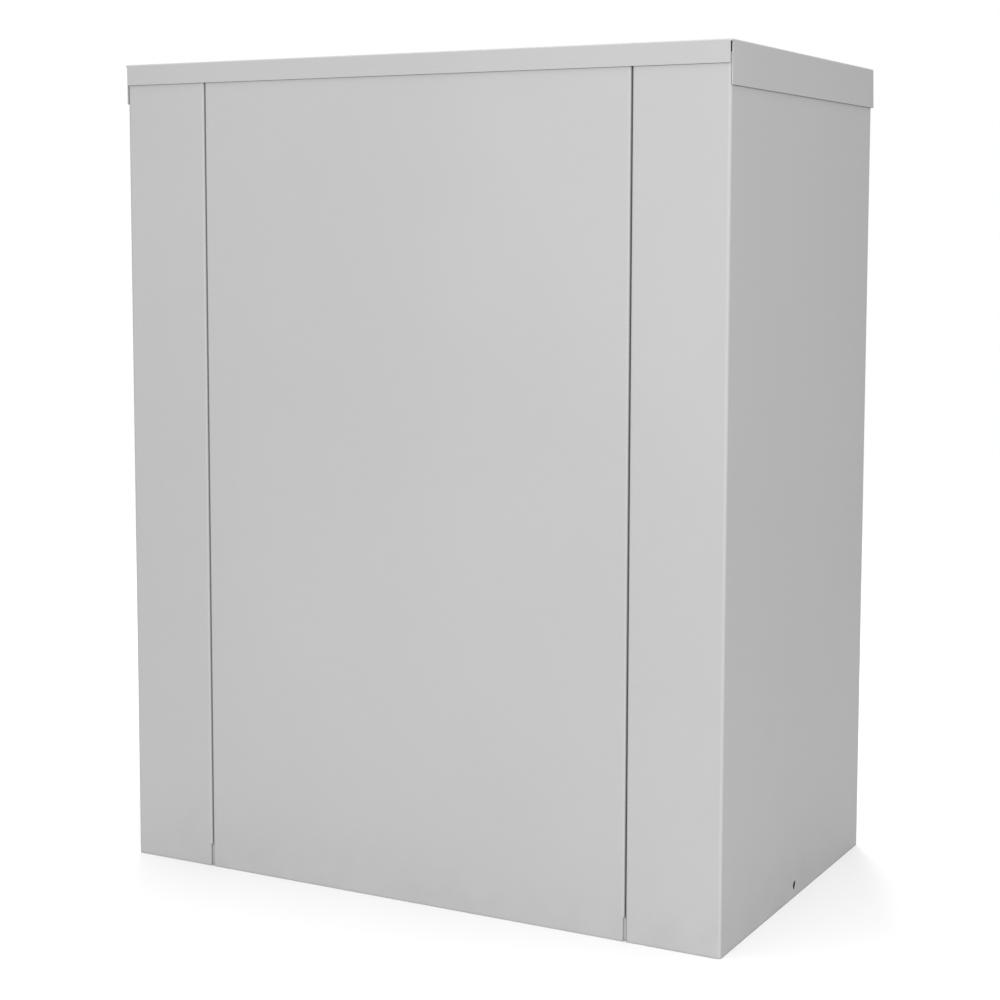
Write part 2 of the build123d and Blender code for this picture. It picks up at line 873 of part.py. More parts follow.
def make_document_pocket():
    """Open-topped pocket for drawings, on the inside of the door."""
    skin = front_y + sheet
    low = door_mid - pocket_centre_below - pocket_height / 2
    half = pocket_width / 2
    pocket = block(-half, half, skin, skin + pocket_depth, low, low + pocket_height)
    rounded = pocket.edges().filter_by(Axis.Z) + pocket.faces().sort_by(Axis.Z)[0].edges()
    pocket = fillet(rounded, radius=pocket_round)
    hollow = block(
        -half + pocket_wall,
        half - pocket_wall,
        skin + pocket_wall,
        skin + pocket_depth - pocket_wall,
        low + pocket_wall,
        low + pocket_height,
    )
    notch = rod(
        pocket_notch_radius,
        (0, skin + pocket_depth / 2, low + pocket_height),
        (0, skin + 2 * pocket_depth, low + pocket_height),
    )
    return pocket - hollow - notch


# ------------------------------------------------------------------ hinges
def make_hinge_leaf(z, side):
    """Cast hinge leaf: side -1 on the case with the lower knuckle, side 1 on the door with the upper."""
    low = z - hinge_length / 2
    high = z + hinge_length / 2
    block_near = hinge_x + side * hinge_block_gap
    block_far = block_near + side * hinge_block_width
    face = hinge_y - hinge_block_rise
    leaf = block(min(block_near, block_far), max(block_near, block_far), face, front_y, low, high)
    leaf = fillet(leaf.faces().sort_by(Axis.Y)[0].edges(), radius=hinge_round)
    if side < 0:
        knuckle_low, knuckle_high = low, z - hinge_knuckle_gap / 2
        places = frame_screw_places
    else:
        knuckle_low, knuckle_high = z + hinge_knuckle_gap / 2, high
        places = door_screw_places
    knuckle = rod(hinge_knuckle_radius, (hinge_x, hinge_y, knuckle_low), (hinge_x, hinge_y, knuckle_high))
    web_low, web_high = sorted((hinge_x, block_near + side * hinge_web_overlap))
    web_front = face + hinge_web_inset
    knuckle += block(web_low, web_high, web_front, front_y - hinge_web_gap, knuckle_low, knuckle_high)
    bore = rod(hinge_pin_radius + pin_clearance, (hinge_x, hinge_y, low), (hinge_x, hinge_y, high))
    return leaf + knuckle - bore - level_rods(hinge_screw_radius, places, face, front_y)


def make_hinge_pins():
    """Hinge pins with a head under the lower knuckle."""
    pins = []
    for z in hinge_heights:
        low = z - hinge_length / 2
        head_low = low - hinge_pin_head_height
        pins += [
            rod(hinge_pin_radius, (hinge_x, hinge_y, low), (hinge_x, hinge_y, low + hinge_length))
            + rod(hinge_pin_head_radius, (hinge_x, hinge_y, head_low), (hinge_x, hinge_y, low))
        ]
    return group(pins)


def make_hinge_screws(places):
    """Domed screws through a hinge leaf into the sheet behind it."""
    face = hinge_y - hinge_block_rise
    top = face - hinge_screw_head_height
    screws = []
    for x, z in places:
        shank = rod(hinge_screw_radius, (x, face, z), (x, front_y + 2 * sheet, z))
        head = rod(hinge_screw_head_radius, (x, top, z), (x, face, z))
        head = fillet(head.faces().sort_by(Axis.Y)[0].edges(), radius=hinge_screw_round)
        socket = hexagon(hinge_socket, (x, top, z), (x, top + hinge_socket_depth, z))
        screws.append(shank + head - socket)
    return group(screws)


# ------------------------------------------------------------------ locks
def make_lock_housing(z):
    """Lock body: a flange on the door's face and a tube through it."""
    face = front_y - lock_flange_thickness
    back = cam_y - lock_cam_clearance
    housing = rod(lock_flange_radius, (lock_x, face, z), (lock_x, front_y, z))
    housing = fillet(housing.faces().sort_by(Axis.Y)[0].edges(), radius=lock_flange_round)
    housing += rod(lock_body_radius, (lock_x, front_y, z), (lock_x, back, z))
    housing -= rod(lock_barrel_radius + pin_clearance, (lock_x, face, z), (lock_x, back, z))
    return housing - rod(
        lock_head_radius + pin_clearance, (lock_x, face, z), (lock_x, face + lock_head_depth, z)
    )


def make_lock_nuts():
    """Nuts that clamp the locks behind the door skin."""
    low = front_y + sheet
    high = low + lock_nut_thickness
    return group(
        [
            hexagon(lock_nut_across, (lock_x, low, z), (lock_x, high, z))
            - rod(lock_body_radius, (lock_x, low, z), (lock_x, high, z))
            for z in lock_heights
        ]
    )


def make_lock_barrel(z):
    """Turning barrel with a triangular key post in a round well."""
    face = front_y - lock_flange_thickness
    barrel = rod(lock_barrel_radius, (lock_x, face + lock_head_depth, z), (lock_x, cam_y, z))
    barrel += rod(lock_head_radius, (lock_x, face, z), (lock_x, face + lock_head_depth, z))
    barrel -= rod(lock_barrel_radius - lock_well_wall, (lock_x, face, z), (lock_x, face + lock_key_depth, z))
    post = Plane(origin=(lock_x, face + lock_key_depth, z), z_dir=(0, -1, 0)) * RegularPolygon(
        lock_key_side / math.sqrt(3), 3
    )
    barrel += extrude(post, amount=lock_key_depth - lock_key_recess)
    half = lock_square / 2
    back = cam_y + lock_cam_thickness
    barrel += block(lock_x - half, lock_x + half, cam_y, back, z - half, z + half)
    return barrel + rod(lock_rivet_radius, (lock_x, back, z), (lock_x, back + lock_rivet_thickness, z))


def make_lock_cam(z):
    """Steel tongue on the barrel's square. It hangs down with the lock open."""
    half = lock_cam_half_width
    back = cam_y + lock_cam_thickness
    cam = rod(half, (lock_x, cam_y, z), (lock_x, back, z))
    cam += block(lock_x - half, lock_x + half, cam_y, back, z - cam_length, z)
    cam = fillet(cam.edges().filter_by(Axis.Y).group_by(Axis.Z)[0], radius=half / 2)
    square = lock_square / 2
    return cam - block(lock_x - square, lock_x + square, cam_y, back, z - square, z + square)


# ------------------------------------------------------------------ mounting plate and rails
def rail_screw_places():
    """Screws near the ends of each rail."""
    reach = rail_length / 2 - slot_pitch
    return [(x, z) for z in (rail_switch_z, rail_breaker_z, rail_terminal_z) for x in (-reach, reach)]


def make_mounting_plate():
    """Flat plate that carries the devices."""
    back = plate_y + plate_thickness
    plate = block(-plate_x, plate_x, plate_y, back, plate_low, plate_high)
    plate -= level_rods(stud_radius + bolt_clearance, stud_places, plate_y, back)
    return plate - level_rods(bar_screw_radius, rail_screw_places(), plate_y, back)


def make_plate_standoffs():
    """Stand-offs with studs, between the rear returns and the mounting plate."""
    back = plate_y + plate_thickness
    return group(
        [
            rod(standoff_radius, (x, back, z), (x, inner_back_y, z))
            + rod(stud_radius, (x, plate_y - stud_reach, z), (x, back, z))
            for x, z in stud_places
        ]
    )


def make_plate_nuts():
    """Nuts on the mounting plate's studs."""
    return group(
        [
            hexagon(nut_across, (x, plate_y - nut_thickness, z), (x, plate_y, z))
            - rod(stud_radius + pin_clearance, (x, plate_y - nut_thickness, z), (x, plate_y, z))
            for x, z in stud_places
        ]
    )


def make_rail(z):
    """Slotted top-hat rail."""
    half = rail_width / 2
    hat = half - rail_brim
    rail = folded_across(
        [
            (rail_front, z + half),
            (rail_front, z + hat),
            (plate_y - rail_sheet, z + hat),
            (plate_y - rail_sheet, z - hat),
            (rail_front, z - hat),
            (rail_front, z - half),
        ],
        -rail_length / 2,
        rail_length / 2,
        rail_sheet,
        rail_bend_radius,
    )
    reach = rail_length / 2 - slot_pitch
    count = round(2 * reach / slot_pitch)
    step = 2 * reach / count
    slot = SlotOverall(slot_length, slot_width)
    for i in range(count + 1):
        place = Plane(origin=(-reach + step * i, plate_y, z), x_dir=(1, 0, 0), z_dir=(0, -1, 0))
        rail -= extrude(place * slot, amount=rail_depth)
    return rail


def make_rail_screws():
    """Screws that hold the rails on the plate."""
    low = plate_y - rail_sheet
    end = plate_y + plate_thickness + rail_screw_reach
    return group(
        [
            rod(bar_screw_radius, (x, low, z), (x, end, z))
            + rod(rail_screw_head_radius, (x, low - rail_screw_head_height, z), (x, low, z))
            for x, z in rail_screw_places()
        ]
    )


# ------------------------------------------------------------------ devices
def rail_notch(x_low, x_high, z):
    """Cutter that lets a device sit over a rail."""
    half = rail_width / 2 + device_fit
    return block(x_low, x_high, rail_front - device_fit, device_back, z - half, z + half)


def breaker_x(i):
    """Middle of breaker i along its rail."""
    return breaker_pitch * (i - (breaker_count - 1) / 2)


def make_breaker_case(i):
    """Three-pole breaker case with a stepped nose, a toggle well and terminal ports."""
    x = breaker_x(i)
    z = rail_breaker_z
    half = breaker_width / 2
    tall = breaker_height / 2
    nose = breaker_nose_height / 2
    step_y = device_back - breaker_back_depth
    points = [
        (device_back, z - tall),
        (device_back, z + tall),
        (step_y, z + tall),
        (step_y, z + nose),
        (nose_y, z + nose),
        (nose_y, z - nose),
        (step_y, z - nose),
        (step_y, z - tall),
    ]
    section = Plane(origin=(x - half, 0, 0), x_dir=(0, 1, 0), z_dir=(1, 0, 0)) * make_face(
        Polyline(*points, close=True)
    )
    case = extrude(section, amount=breaker_width)
    case = chamfer(case.faces().sort_by(Axis.Y)[0].edges(), length=breaker_chamfer)
    well = toggle_width / 2 + toggle_side_gap
    case -= rod(toggle_radius + toggle_side_gap, (x - well, toggle_y, z), (x + well, toggle_y, z))
    swing = toggle_radius + 2 * toggle_side_gap + toggle_lever_thickness / 4
    case -= block(x - well, x + well, nose_y, toggle_y, z - swing, z + swing)
    reach = toggle_width / 2 + toggle_pivot_length
    case -= rod(toggle_pivot_radius + pin_clearance, (x - reach, toggle_y, z), (x + reach, toggle_y, z))
    port_y = device_back - port_behind
    for pole in (-1, 0, 1):
        pole_x = x + pole * breaker_pitch / 3
        for end in (-1, 1):
            low, high = sorted((z + end * tall, z + end * (tall - port_depth)))
            case -= block(
                pole_x - port_width / 2,
                pole_x + port_width / 2,
                port_y - port_width / 2,
                port_y + port_width / 2,
                low,
                high,
            )
    return case - rail_notch(x - half, x + half, z)


def make_breaker_toggle(i):
    """Linked toggle of a breaker, down for off."""
    x = breaker_x(i)
    z = rail_breaker_z
    half = toggle_width / 2
    toggle = rod(toggle_radius, (x - half, toggle_y, z), (x + half, toggle_y, z))
    reach = half + toggle_pivot_length - toggle_side_gap
    toggle += rod(toggle_pivot_radius, (x - reach, toggle_y, z), (x + reach, toggle_y, z))
    lever = Box(toggle_width - 2 * toggle_lever_inset, toggle_lever_length, toggle_lever_thickness)
    lever = fillet(lever.edges().filter_by(Axis.X), radius=(toggle_lever_thickness - toggle_lever_flat) / 2)
    lever = Pos(x, toggle_y, z) * Rot(toggle_angle, 0, 0) * Pos(0, -toggle_lever_length / 2, 0) * lever
    return toggle + lever


def make_comb_busbar():
    """Insulated comb that feeds the breakers, with its pins in their upper ports."""
    low = rail_breaker_z + breaker_height / 2 + comb_gap
    port_y = device_back - port_behind
    reach = breaker_pitch * breaker_count / 2 - comb_end_gap
    comb = block(-reach, reach, port_y - comb_depth / 2, port_y + comb_depth / 2, low, low + comb_height)
    for i in range(breaker_count):
        for pole in (-1, 0, 1):
            x = breaker_x(i) + pole * breaker_pitch / 3
            comb += block(
                x - comb_pin_width / 2,
                x + comb_pin_width / 2,
                port_y - comb_pin_depth / 2,
                port_y + comb_pin_depth / 2,
                low - port_depth,
                low,
            )
    return comb


def make_switch_case():
    """Main switch: a stepped block on the upper rail with a bore for the knob's shaft."""
    z = rail_switch_z
    half = switch_width / 2
    tall = switch_height / 2
    base_y = device_back - switch_base_depth
    case = block(-half, half, base_y, device_back, z - tall, z + tall)
    case += block(-half, half, switch_face_y, base_y, z - tall + switch_step, z + tall - switch_step)
    case = chamfer(case.faces().sort_by(Axis.Y)[0].edges(), length=switch_chamfer)
    case -= rod(
        knob_shaft_radius + pin_clearance,
        (0, switch_face_y, z),
        (0, switch_face_y + knob_shaft_length + knob_gap, z),
    )
    port_y = device_back - port_behind
    for pole in (-1, 0, 1):
        for end in (-1, 1):
            low, high = sorted((z + end * tall, z + end * (tall - switch_port_depth)))
            case -= block(
                pole * switch_pole_pitch - switch_port_width / 2,
                pole * switch_pole_pitch + switch_port_width / 2,
                port_y - port_width / 2,
                port_y + port_width / 2,
                low,
                high,
            )
    return case - rail_notch(-half, half, z)


def make_switch_knob():
    """Rotary handle of the main switch, with its grip level for off."""
    z = rail_switch_z
    knob = rod(knob_radius, (0, knob_y, z), (0, knob_y - knob_disc, z))
    knob = fillet(knob.faces().sort_by(Axis.Y)[0].edges(), radius=knob_disc_round)
    grip = block(
        -knob_grip_length / 2,
        knob_grip_length / 2,
        knob_y - knob_disc - knob_grip_height,
        knob_y - knob_disc,
        z - knob_grip_width / 2,
        z + knob_grip_width / 2,
    )
    rounded = grip.edges().filter_by(Axis.Y) + grip.faces().sort_by(Axis.Y)[0].edges()
    grip = fillet(rounded, radius=knob_grip_round)
    return knob + grip + rod(knob_shaft_radius, (0, knob_y, z), (0, switch_face_y + knob_shaft_length, z))


def make_feed_links():
    """Flat copper links from the main switch down to the comb."""
    port_y = device_back - port_behind
    top = rail_switch_z - switch_height / 2 + port_depth
    low = rail_breaker_z + breaker_height / 2 + comb_gap + comb_height
    return group(
        [
            block(
                pole * switch_pole_pitch - link_width / 2,
                pole * switch_pole_pitch + link_width / 2,
                port_y - link_thickness / 2,
                port_y + link_thickness / 2,
                low,
                top,
            )
            for pole in (-1, 0, 1)
        ]
    )


def make_terminals():
    """Row of feed-through terminals on the lower rail."""
    z = rail_terminal_z
    half = terminal_height / 2
    blocks = []
    for i in range(terminal_count):
        x = terminal_pitch * (i - (terminal_count - 1) / 2)
        low = x - terminal_width / 2
        high = x + terminal_width / 2
        face = device_back - terminal_depth
        body = block(low, high, face, device_back, z - half, z + half)
        body = chamfer(body.faces().sort_by(Axis.Y)[0].edges().filter_by(Axis.X), length=terminal_chamfer)
        screws = [(x, z - half / 2), (x, z + half / 2)]
        body -= level_rods(terminal_screw_radius, screws, face, face + terminal_depth / 2)
        blocks.append(body - rail_notch(low, high, z))
    return group(blocks)


def make_end_stops():
    """Clamps at both ends of the terminal row."""
    z = rail_terminal_z
    inner = terminal_pitch * terminal_count / 2 + device_fit
    half = end_stop_height / 2
    stop = block(inner, inner + end_stop_width, device_back - end_stop_depth, device_back, z - half, z + half)
    stop = fillet(stop.faces().sort_by(Axis.Y)[0].edges(), radius=end_stop_round)
    return both_sides(stop - rail_notch(inner, inner + end_stop_width, z))


def bar_screw_places(side):
    """Clamping screws along the neutral or earth bar."""
    pitch = (bar_length - 2 * bar_foot_width) / bar_screw_count
    start = side * bar_offset - bar_length / 2 + bar_foot_width
    return [start + pitch * (i + 0.5) for i in range(bar_screw_count)]


def make_bar(side):
    """Neutral (side -1) or earth (side 1) bar with cross holes and clamping screws' bores."""
    centre = side * bar_offset
    bar = block(
        centre - bar_length / 2,
        centre + bar_length / 2,
        bar_back - bar_depth,
        bar_back,
        bar_z - bar_height / 2,
        bar_z + bar_height / 2,
    )
    middle = bar_back - bar_depth / 2
    for x in bar_screw_places(side):
        bar -= rod(bar_hole_radius, (x, middle, bar_z - bar_height), (x, middle, bar_z + bar_height))
        bar -= rod(bar_screw_radius, (x, bar_back - bar_depth, bar_z), (x, middle, bar_z))
    return bar


def make_bar_supports():
    """Insulating feet under both ends of the neutral and earth bars."""
    feet = []
    for side in (-1, 1):
        for end in (-1, 1):
            x = side * bar_offset + end * (bar_length / 2 - bar_foot_width / 2)
            foot = block(
                x - bar_foot_width / 2,
                x + bar_foot_width / 2,
                bar_back,
                plate_y,
                bar_z - bar_foot_width / 2,
                bar_z + bar_foot_width / 2,
            )
            feet.append(fillet(foot.edges().filter_by(Axis.Y), radius=bar_foot_round))
    return group(feet)


def make_bar_screws():
    """Clamping screws of the neutral and earth bars."""
    face = bar_back - bar_depth
    top = face - bar_screw_head_height
    half_slot = bar_screw_slot_width / 2
    screws = []
    for x in bar_screw_places(-1) + bar_screw_places(1):
        shank = rod(bar_screw_radius, (x, face, bar_z), (x, face + bar_screw_reach, bar_z))
        head = rod(bar_screw_head, (x, top, bar_z), (x, face, bar_z))
        slot = block(
            x - bar_screw_head,
            x + bar_screw_head,
            top,
            top + bar_screw_slot_depth,
            bar_z - half_slot,
            bar_z + half_slot,
        )
        screws.append(shank + head - slot)
    return group(screws)


def make_wiring_duct():
    """Slotted trunking between the breakers and the terminals."""
    half = rail_length / 2
    low = duct_z - duct_width / 2
    high = duct_z + duct_width / 2
    mouth = plate_y - duct_depth
    duct = block(-half, half, mouth, plate_y, low, high)
    duct -= block(-half, half, mouth, plate_y - duct_wall, low + duct_wall, high - duct_wall)
    count = int(rail_length / duct_pitch) - 1
    for i in range(count):
        x = duct_pitch * (i - (count - 1) / 2)
        duct -= block(
            x - duct_slot / 2, x + duct_slot / 2, mouth + duct_slot_front, plate_y - duct_slot_back, low, high
        )
    return duct


def make_duct_cover():
    """Snap-on cover of the trunking."""
    half = rail_length / 2
    low = duct_z - duct_width / 2
    high = duct_z + duct_width / 2
    face = plate_y - duct_depth
    edge = face + duct_cover_lip
    cover = block(-half, half, face - duct_wall, edge, low - duct_wall, high + duct_wall)
    return cover - block(-half, half, face, edge, low, high)


# ------------------------------------------------------------------ all pieces
def make_pieces():
    """Each node's name and shape."""
    right_wall = make_side_wall() - rivet_holes(1)
    rear_holes = rivet_holes(-1) + rivet_holes(1)
    hinge_holes = level_rods(hinge_screw_radius, frame_screw_places, front_y, front_y + sheet)
    pieces = {
        "side_wall_right": right_wall,
        "side_wall_left": mirror(right_wall, about=Plane.YZ) - hinge_holes,
        "rear_panel": make_rear_panel() - rear_holes,
        "rear_seam_seals": make_rear_seals() - rear_holes,
        "rear_seam_rivets": make_rear_rivets(),
        "front_header": make_front_header(),
        "front_sill": make_front_sill(),
        "top_plate": make_top_plate(),
        "roof_cap": make_roof_cap(),
        "roof_bolts": make_roof_bolts(),
        "roof_spacers": make_roof_spacers(),
        "roof_nuts": make_roof_nuts(),
        "base_tray": make_base_tray(),
        "anchor_tubes": make_anchor_tubes(),
        "gland_plate": make_gland_plate(),
        "gland_plate_seal": make_gland_plate_seal(),
        "gland_plate_bolts": make_gland_plate_bolts(),
        "gland_bodies": make_gland_bodies(),
        "gland_cap_nuts": make_gland_caps(),
        "gland_seals": make_gland_seals(),
        "gland_locknuts": make_gland_locknuts(),
        "mounting_plate": make_mounting_plate(),
        "plate_standoffs": make_plate_standoffs(),
        "plate_nuts": make_plate_nuts(),
        "din_rails": group([make_rail(z) for z in (rail_switch_z, rail_breaker_z, rail_terminal_z)]),
        "rail_screws": make_rail_screws(),
        "main_switch_case": make_switch_case(),
        "main_switch_knob": make_switch_knob(),
        "feed_links": make_feed_links(),
        "breaker_cases": group([make_breaker_case(i) for i in range(breaker_count)]),
        "comb_busbar": make_comb_busbar(),
        "terminal_blocks": make_terminals(),
        "terminal_end_stops": make_end_stops(),
        "neutral_bar": make_bar(-1),
        "earth_bar": make_bar(1),
        "bar_supports": make_bar_supports(),
        "bar_screws": make_bar_screws(),
        "wiring_duct": make_wiring_duct(),
        "wiring_duct_cover": make_duct_cover(),
        "frame_hinge_leaves": group([make_hinge_leaf(z, -1) for z in hinge_heights]),
        "hinge_pins": make_hinge_pins(),
        "frame_hinge_screws": make_hinge_screws(frame_screw_places),
        "door_panel": make_door_panel(),
        "door_gasket": make_door_gasket(),
        "door_stiffeners": make_door_stiffeners(),
        "document_pocket": make_document_pocket(),
        "door_hinge_leaves": group([make_hinge_leaf(z, 1) for z in hinge_heights]),
        "door_hinge_screws": make_hinge_screws(door_screw_places),
        "lock_nuts": make_lock_nuts(),
    }
    for name, z in zip(("upper", "lower"), lock_heights):
        pieces[f"lock_{name}_housing"] = make_lock_housing(z)
        pieces[f"lock_{name}_barrel"] = make_lock_barrel(z)
        pieces[f"lock_{name}_cam"] = make_lock_cam(z)
    for i in range(breaker_count):
        pieces[f"breaker_{i + 1}_toggle"] = make_breaker_toggle(i)
    return pieces


def main():
    os.makedirs("parts", exist_ok=True)
    for name, shape in make_pieces().items():
        export_step(shape, f"parts/{name}.step")


main()
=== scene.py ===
import json
import math

import bpy
from mathutils import Matrix, Vector


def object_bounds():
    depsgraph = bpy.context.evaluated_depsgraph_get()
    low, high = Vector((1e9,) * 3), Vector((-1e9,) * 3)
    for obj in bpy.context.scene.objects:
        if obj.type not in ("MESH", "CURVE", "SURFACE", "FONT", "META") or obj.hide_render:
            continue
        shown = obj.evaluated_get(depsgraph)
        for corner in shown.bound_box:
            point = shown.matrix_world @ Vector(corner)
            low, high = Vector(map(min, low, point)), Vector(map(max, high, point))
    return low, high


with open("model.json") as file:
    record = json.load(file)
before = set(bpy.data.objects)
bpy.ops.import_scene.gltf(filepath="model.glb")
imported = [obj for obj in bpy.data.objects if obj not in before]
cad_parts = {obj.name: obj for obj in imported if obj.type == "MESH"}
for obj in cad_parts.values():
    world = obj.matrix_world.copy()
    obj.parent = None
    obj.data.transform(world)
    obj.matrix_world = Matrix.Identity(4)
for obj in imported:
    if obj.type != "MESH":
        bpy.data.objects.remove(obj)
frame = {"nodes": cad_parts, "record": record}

cad_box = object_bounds()
nodes = frame["nodes"]
scene = bpy.context.scene
top = cad_box[1][2]

# the paint, in metres and in features to the metre
PAINT = (0.460, 0.460, 0.460)
PAINT_IOR = 1.46
PAINT_GRAIN = 620.0
SHEET_CLOUDS = 2.3
SHEET_WAVES = 1.6
SHEET_WAVE_HEIGHT = 0.0030
ORANGE_PEEL = 420.0
ORANGE_PEEL_HEIGHT = 0.00006
SHEEN_PATCHES = 9.0
SCUFFS = 26.0
SCUFF_HEIGHT = 0.10             # scuffs fade out at this height
CREVICE_REACH = 0.004           # painted shade darkens the paint where another surface is nearer than this

# the other finishes
COAT_ROUGHNESS = 0.1            # of the clear gloss on the red and black handles
PLATING_BUMP = 0.00003
MOULDED_CLOUDS = 30.0
MOULDED_PATCHES = 60.0
MOULD_TEXTURE = 1500.0
MOULD_TEXTURE_HEIGHT = 0.00004
BLOOM = 45.0
RUBBER_IOR = 1.52
RUBBER_TEXTURE = 900.0
RUBBER_TEXTURE_HEIGHT = 0.00010

# the stage, in metres and degrees
FLOOR_REACH = 3.2               # from the origin to each side of the floor
FLOOR_FADE = (1.2, 3.0)         # the floor is solid within the first and gone at the second
FLOOR_BOUNCE = (0.52, 0.52, 0.52)  # the floor's colour in the light that it throws back
CAMERA_PLACE = (-1.201, 2.2485, 0.803)
CAMERA_SENSOR = 36.0            # millimetres
CAMERA_LENS = 72.6              # millimetres
CAMERA_SHIFT = -0.08
CAMERA_YAW, CAMERA_PITCH, CAMERA_ROLL = 28.17, 5.50, 0.12
WORLD_LIGHT = 0.44
REAR_AIM = (0.0, 0.1, top / 2)
FRONT_AIM = (0.0, 0.0, top / 2)


# ------------------------------------------------------------------ material helpers
def new_material(name, metallic=0.0, ior=1.5, coat=0.0):
    """A material with a Principled shader, and its constants on the shader's own sockets."""
    material = bpy.data.materials.new(name)
    material.use_nodes = True
    shader = material.node_tree.nodes["Principled BSDF"]
    shader.inputs["Metallic"].default_value = metallic
    shader.inputs["IOR"].default_value = ior
    shader.inputs["Coat Weight"].default_value = coat
    shader.inputs["Coat Roughness"].default_value = COAT_ROUGHNESS
    return material


def add_node(material, kind, **values):
    """A new node with its inputs set from values, by name with underscores for spaces."""
    node = material.node_tree.nodes.new(kind)
    for name, value in values.items():
        node.inputs[name.replace("_", " ")].default_value = value
    return node


def link(material, output, target):
    material.node_tree.links.new(output, target)


def multiply(material, first, second):
    node = add_node(material, "ShaderNodeMath")
    node.operation = "MULTIPLY"
    link(material, first, node.inputs[0])
    link(material, second, node.inputs[1])
    return node.outputs["Value"]


def coordinates(material, stretch=(1, 1, 1)):
    """Object coordinates in metres, stretched along each axis."""
    source = add_node(material, "ShaderNodeTexCoord")
    mapping = add_node(material, "ShaderNodeMapping", Scale=stretch)
    link(material, source.outputs["Object"], mapping.inputs["Vector"])
    return mapping.outputs["Vector"]


def noise(material, scale, detail=2.0, rough=0.5, stretch=(1, 1, 1)):
    """Noise with this many features in a metre."""
    node = add_node(material, "ShaderNodeTexNoise", Scale=scale, Detail=detail, Roughness=rough)
    link(material, coordinates(material, stretch), node.inputs["Vector"])
    return node.outputs["Fac"]


def remap(material, value, low, high, to_low=0.0, to_high=1.0):
    """value from low..high to to_low..to_high, held at the ends."""
    node = add_node(
        material, "ShaderNodeMapRange", From_Min=low, From_Max=high, To_Min=to_low, To_Max=to_high
    )
    link(material, value, node.inputs["Value"])
    return node.outputs["Result"]


def blend_colours(material, factor, first, second):
    """Colour between first and second, each an RGB tuple or an output."""
    node = material.node_tree.nodes.new("ShaderNodeMix")
    node.data_type = "RGBA"
    link(material, factor, node.inputs["Factor"])
    for socket, colour in ((node.inputs[6], first), (node.inputs[7], second)):
        if isinstance(colour, tuple):
            socket.default_value = (*colour, 1.0)
        else:
            link(material, colour, socket)
    return node.outputs[2]


def add_bumps(material, layers):
    """Stacks bumps, each an output with its height in metres, on the shader's normal."""
    normal = None
    for height, distance in layers:
        bump = add_node(material, "ShaderNodeBump", Strength=1.0, Distance=distance)
        link(material, height, bump.inputs["Height"])
        if normal is not None:
            link(material, normal, bump.inputs["Normal"])
        normal = bump.outputs["Normal"]
    link(material, normal, material.node_tree.nodes["Principled BSDF"].inputs["Normal"])


def finish_with(material, colour, roughness):
    shader = material.node_tree.nodes["Principled BSDF"]
    link(material, colour, shader.inputs["Base Color"])
    link(material, roughness, shader.inputs["Roughness"])
    return material


def scaled(colour, factor):
    return tuple(c * factor for c in colour)


# ------------------------------------------------------------------ materials
def powder_coat(name, colour):
    """Baked powder coat: fine orange peel, slow changes of tone, scuffs near the ground, and painted shade
    in the crevices.
    """
    material = new_material(name, ior=PAINT_IOR)
    cloud = remap(material, noise(material, SHEET_CLOUDS, detail=3.0), 0.35, 0.65)
    base = blend_colours(material, cloud, scaled(colour, 0.975), scaled(colour, 1.015))
    grain = remap(material, noise(material, PAINT_GRAIN), 0.35, 0.65, 0.0, 0.35)
    base = blend_colours(material, grain, base, scaled(colour, 0.965))

    height = add_node(material, "ShaderNodeSeparateXYZ")
    link(material, coordinates(material), height.inputs["Vector"])
    near_ground = remap(material, height.outputs["Z"], 0.0, SCUFF_HEIGHT, 1.0, 0.0)
    specks = remap(material, noise(material, SCUFFS, detail=6.0, rough=0.6), 0.42, 0.72)
    scuffs = remap(material, multiply(material, near_ground, specks), 0.0, 1.0, 0.0, 0.5)
    base = blend_colours(material, scuffs, base, scaled(colour, 0.88))

    # painted shade: ambient occlusion darkens the paint towards dark grey in crevices, seams and under
    # flanges
    openness = add_node(material, "ShaderNodeAmbientOcclusion", Distance=CREVICE_REACH)
    openness.samples = 8
    painted_crevice_shade = remap(material, openness.outputs["AO"], 0.20, 0.85, 0.65, 0.0)
    base = blend_colours(material, painted_crevice_shade, base, scaled(colour, 0.25))

    waves = noise(material, SHEET_WAVES, detail=1.0)
    peel = noise(material, ORANGE_PEEL, detail=1.0)
    add_bumps(material, [(waves, SHEET_WAVE_HEIGHT), (peel, ORANGE_PEEL_HEIGHT)])
    patches = noise(material, SHEEN_PATCHES, detail=4.0)
    return finish_with(material, base, remap(material, patches, 0.3, 0.7, 0.40, 0.50))


def plated_steel(name, colour, low_rough, high_rough, stretch=(1, 1, 1), grain=300.0):
    """Galvanised or zinc-plated steel with a spangle, or bare metal with a rolled grain."""
    material = new_material(name, metallic=1.0)
    spangle = noise(material, grain, detail=3.0, stretch=stretch)
    base = blend_colours(
        material, remap(material, spangle, 0.3, 0.7), scaled(colour, 0.82), scaled(colour, 1.08)
    )
    add_bumps(material, [(noise(material, grain * 2, stretch=stretch), PLATING_BUMP)])
    return finish_with(material, base, remap(material, spangle, 0.3, 0.7, low_rough, high_rough))


def moulded(name, colour, low_rough, high_rough, coat=0.0):
    """Moulded plastic with a spark-eroded texture."""
    material = new_material(name, coat=coat)
    cloud = remap(material, noise(material, MOULDED_CLOUDS), 0.35, 0.65)
    base = blend_colours(material, cloud, scaled(colour, 0.94), scaled(colour, 1.04))
    add_bumps(material, [(noise(material, MOULD_TEXTURE, detail=1.0), MOULD_TEXTURE_HEIGHT)])
    patches = noise(material, MOULDED_PATCHES, detail=3.0)
    return finish_with(material, base, remap(material, patches, 0.3, 0.7, low_rough, high_rough))


